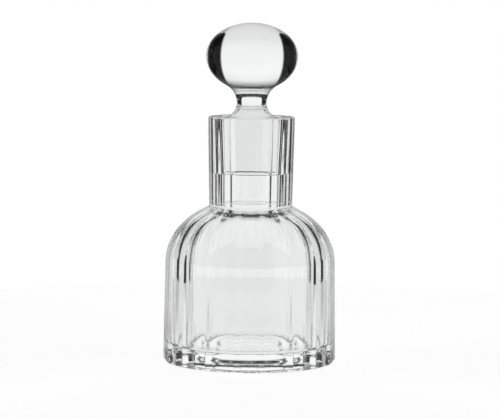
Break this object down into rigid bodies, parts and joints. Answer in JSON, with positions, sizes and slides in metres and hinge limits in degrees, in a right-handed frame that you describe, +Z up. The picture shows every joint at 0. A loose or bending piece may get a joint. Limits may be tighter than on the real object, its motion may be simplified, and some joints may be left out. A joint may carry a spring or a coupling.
{
  "type": "fluted glass carafe",
  "caption": "Thick clear-glass carafe with a bell-shaped fluted body, wide straight neck and a solid round-knobbed glass stopper.",
  "frame": {"origin": "centre of the flat base, on the surface that the carafe stands on", "axes": "+Z up along the carafe's axis, through the stopper; -Y towards the flute that faces the picture's camera"},
  "size_m": [0.125, 0.123, 0.245],
  "materials": {
    "clear_glass": "polished, clear and colourless"
  },
  "bodies": {
    "carafe": {"carafe_body": "clear_glass"},
    "stopper": {"stopper": "clear_glass"}
  },
  "joints": [
    {"name": "stopper_lift", "type": "slide", "parent": "carafe", "child": "stopper", "axis": [0, 0, 1], "range_m": [0, 0.06]}
  ]
}
